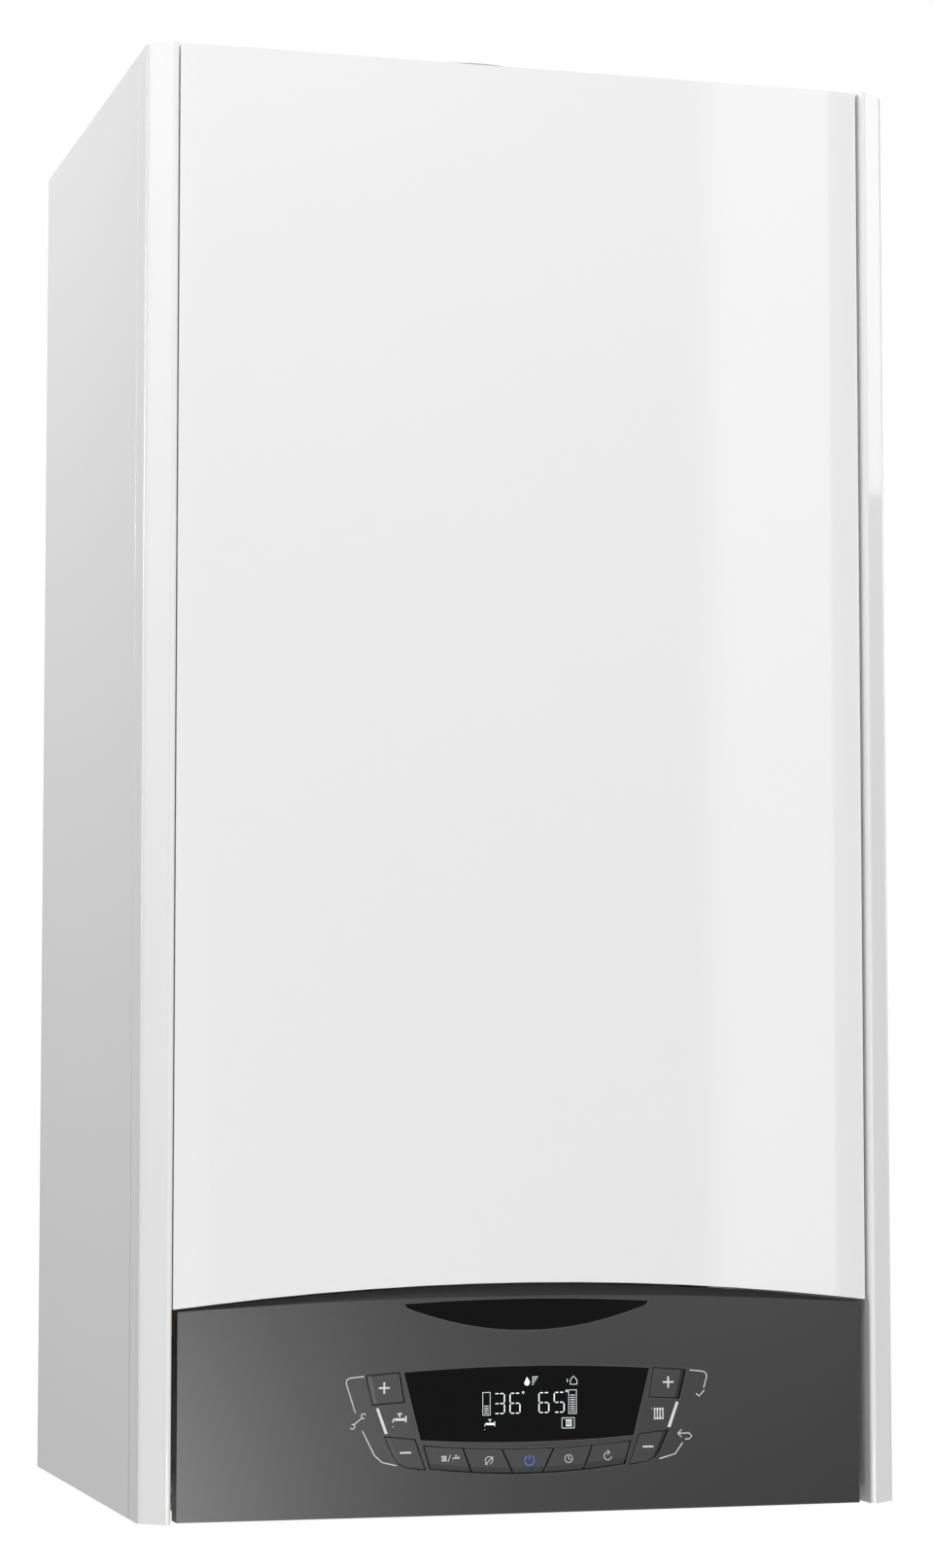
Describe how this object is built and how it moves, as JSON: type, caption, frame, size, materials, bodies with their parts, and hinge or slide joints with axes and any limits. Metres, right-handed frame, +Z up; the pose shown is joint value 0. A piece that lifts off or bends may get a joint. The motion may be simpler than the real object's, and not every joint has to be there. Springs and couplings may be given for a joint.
{
  "type": "wall-hung gas boiler",
  "caption": "Wall-hung gas combi boiler with a lift-off white front casing, a hinged grey control panel with keys and display, and its sealed burner chamber, fan, pump and pipework.",
  "frame": {"origin": "wall plane, bottom middle of the cabinet", "axes": "+X right seen from the front, +Y towards the wall, +Z up"},
  "size_m": [0.4, 0.319, 0.7888],
  "materials": {
    "white_enamel": "satin powder coat",
    "grey_abs": "fine textured",
    "key_abs": "fine textured",
    "black_gloss": "polished",
    "lcd": "polished",
    "circuit_board": "satin",
    "black_nylon": "matt",
    "zinc_steel": "galvanised",
    "cast_aluminium": "cast",
    "copper": "drawn",
    "brass": "cast",
    "stainless": "rolled",
    "cast_iron": "painted",
    "tank_paint": "gloss",
    "silicone": "matt",
    "fibre_board": "matt",
    "clear_glass": "clear",
    "knob_plastic": "satin",
    "red_plastic": "satin"
  },
  "bodies": {
    "boiler": {"left_side_panel": "white_enamel", "right_side_panel": "white_enamel", "top_plate": "white_enamel", "diverter_motor": "black_nylon", "pump_motor": "black_nylon", "air_pressure_switch": "black_nylon", "fan_motor": "black_nylon", "pressure_gauge": "black_nylon", "rear_frame": "zinc_steel", "wall_bracket": "zinc_steel", "combustion_housing": "zinc_steel", "chamber_cover": "zinc_steel", "fume_hood": "zinc_steel", "fan_housing": "zinc_steel", "chassis_screws": "zinc_steel", "hinge_pins": "zinc_steel", "burner": "zinc_steel", "flue_collar": "cast_aluminium", "flue_outlet_pipe": "cast_aluminium", "gas_valve": "cast_aluminium", "gas_manifold": "cast_aluminium", "heat_exchanger": "copper", "water_pipes": "copper", "gas_pipes": "copper", "hydraulic_block": "brass", "relief_valve": "brass", "plate_heat_exchanger": "stainless", "pump_body": "cast_iron", "expansion_vessel": "tank_paint", "chamber_seal": "silicone", "insulation_boards": "fibre_board", "electrodes": "fibre_board", "sight_glass": "clear_glass", "gauge_glass": "clear_glass"},
    "casing": {"front_panel": "white_enamel", "left_corner_trim": "white_enamel", "right_corner_trim": "white_enamel", "casing_screws": "zinc_steel"},
    "control_panel": {"control_fascia": "grey_abs", "badge_cover": "black_gloss", "display_window": "black_gloss", "lcd_module": "lcd", "key_board": "circuit_board", "control_box": "black_nylon", "main_board": "circuit_board"},
    "water_plus_key": {"water_plus_key": "key_abs"},
    "water_minus_key": {"water_minus_key": "key_abs"},
    "heating_plus_key": {"heating_plus_key": "key_abs"},
    "heating_minus_key": {"heating_minus_key": "key_abs"},
    "mode_key": {"mode_key": "key_abs"},
    "eco_key": {"eco_key": "key_abs"},
    "power_key": {"power_key": "key_abs"},
    "auto_key": {"auto_key": "key_abs"},
    "reset_key": {"reset_key": "key_abs"},
    "fan_impeller": {"fan_impeller": "cast_aluminium"},
    "pump_impeller": {"pump_impeller": "knob_plastic"},
    "diverter_spindle": {"diverter_spindle": "stainless"},
    "relief_knob": {"relief_knob": "red_plastic"},
    "filling_knob": {"filling_knob": "knob_plastic"},
    "gauge_needle": {"gauge_needle": "knob_plastic"}
  },
  "joints": [
    {"name": "casing_lift_off", "type": "slide", "parent": "boiler", "child": "casing", "axis": [0, -1, 0], "range_m": [0, 0.12]},
    {"name": "panel_hinge", "type": "hinge", "parent": "boiler", "child": "control_panel", "pos_m": [0, -0.278, 0.014], "axis": [1, 0, 0], "range_deg": [0, 85]},
    {"name": "water_plus_key_press", "type": "slide", "parent": "control_panel", "child": "water_plus_key", "axis": [0, 1, 0], "range_m": [0, 0.0008], "stiffness_N_per_m": 600},
    {"name": "water_minus_key_press", "type": "slide", "parent": "control_panel", "child": "water_minus_key", "axis": [0, 1, 0], "range_m": [0, 0.0008], "stiffness_N_per_m": 600},
    {"name": "heating_plus_key_press", "type": "slide", "parent": "control_panel", "child": "heating_plus_key", "axis": [0, 1, 0], "range_m": [0, 0.0008], "stiffness_N_per_m": 600},
    {"name": "heating_minus_key_press", "type": "slide", "parent": "control_panel", "child": "heating_minus_key", "axis": [0, 1, 0], "range_m": [0, 0.0008], "stiffness_N_per_m": 600},
    {"name": "mode_key_press", "type": "slide", "parent": "control_panel", "child": "mode_key", "axis": [0, 1, 0], "range_m": [0, 0.0008], "stiffness_N_per_m": 600},
    {"name": "eco_key_press", "type": "slide", "parent": "control_panel", "child": "eco_key", "axis": [0, 1, 0], "range_m": [0, 0.0008], "stiffness_N_per_m": 600},
    {"name": "power_key_press", "type": "slide", "parent": "control_panel", "child": "power_key", "axis": [0, 1, 0], "range_m": [0, 0.0008], "stiffness_N_per_m": 600},
    {"name": "auto_key_press", "type": "slide", "parent": "control_panel", "child": "auto_key", "axis": [0, 1, 0], "range_m": [0, 0.0008], "stiffness_N_per_m": 600},
    {"name": "reset_key_press", "type": "slide", "parent": "control_panel", "child": "reset_key", "axis": [0, 1, 0], "range_m": [0, 0.0008], "stiffness_N_per_m": 600},
    {"name": "fan_spin", "type": "hinge", "parent": "boiler", "child": "fan_impeller", "pos_m": [-0.014, -0.1585, 0.664], "axis": [0, 1, 0], "continuous": true},
    {"name": "pump_spin", "type": "hinge", "parent": "boiler", "child": "pump_impeller", "pos_m": [0.132, -0.15, 0.152], "axis": [0, 1, 0], "continuous": true},
    {"name": "diverter_stroke", "type": "slide", "parent": "boiler", "child": "diverter_spindle", "axis": [0, 0, 1], "range_m": [0, 0.008]},
    {"name": "relief_turn", "type": "hinge", "parent": "boiler", "child": "relief_knob", "pos_m": [0.152, -0.138, 0.06], "axis": [0, -1, 0], "range_deg": [0, 90]},
    {"name": "filling_turn", "type": "hinge", "parent": "boiler", "child": "filling_knob", "pos_m": [0.033, -0.09, 0], "axis": [0, 0, 1], "range_deg": [0, 300]},
    {"name": "needle_swing", "type": "hinge", "parent": "boiler", "child": "gauge_needle", "pos_m": [-0.099, -0.206, 0.01], "axis": [0, 0, 1], "range_deg": [0, 270]}
  ]
}
